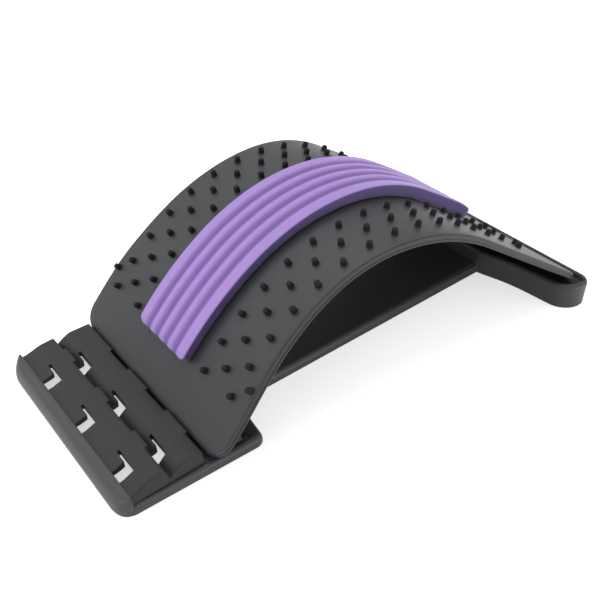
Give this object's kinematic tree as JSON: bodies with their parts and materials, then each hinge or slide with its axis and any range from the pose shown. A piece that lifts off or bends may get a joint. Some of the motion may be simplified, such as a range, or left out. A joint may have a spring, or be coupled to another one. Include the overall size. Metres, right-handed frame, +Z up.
{
  "type": "lower back massager",
  "caption": "Arched back stretcher: a bent plate with rows of massage pins and a grooved foam pad, held by a toothed base with slots that set its height.",
  "frame": {"origin": "centre of the bounding box on the floor plane, under the feet", "axes": "+X along the object from the toothed end to the wide far bar, +Y across it, +Z up"},
  "size_m": [0.381, 0.242, 0.1113],
  "materials": {
    "board_plastic": "satin",
    "block_plastic": "satin",
    "plate_plastic": "satin",
    "pin_rubber": "matte",
    "pad_foam": "matte",
    "pad_tape": "matte",
    "foot_rubber": "matte"
  },
  "bodies": {
    "base": {"base_board": "board_plastic", "step_block": "block_plastic", "foot_near_front": "foot_rubber", "foot_near_rear": "foot_rubber", "foot_far_front": "foot_rubber", "foot_far_rear": "foot_rubber"},
    "plate": {"arch_plate": "plate_plastic", "pins_front_inner": "pin_rubber", "pins_front_middle": "pin_rubber", "pins_front_outer": "pin_rubber", "pins_rear_inner": "pin_rubber", "pins_rear_middle": "pin_rubber", "pins_rear_outer": "pin_rubber", "pins_corner": "pin_rubber", "foam_pad": "pad_foam", "pad_adhesive": "pad_tape"}
  },
  "joints": [
    {"name": "plate_lift", "type": "hinge", "parent": "base", "child": "plate", "pos_m": [0.18245, 0, 0.019], "axis": [0, 1, 0], "range_deg": [0, 35]}
  ]
}
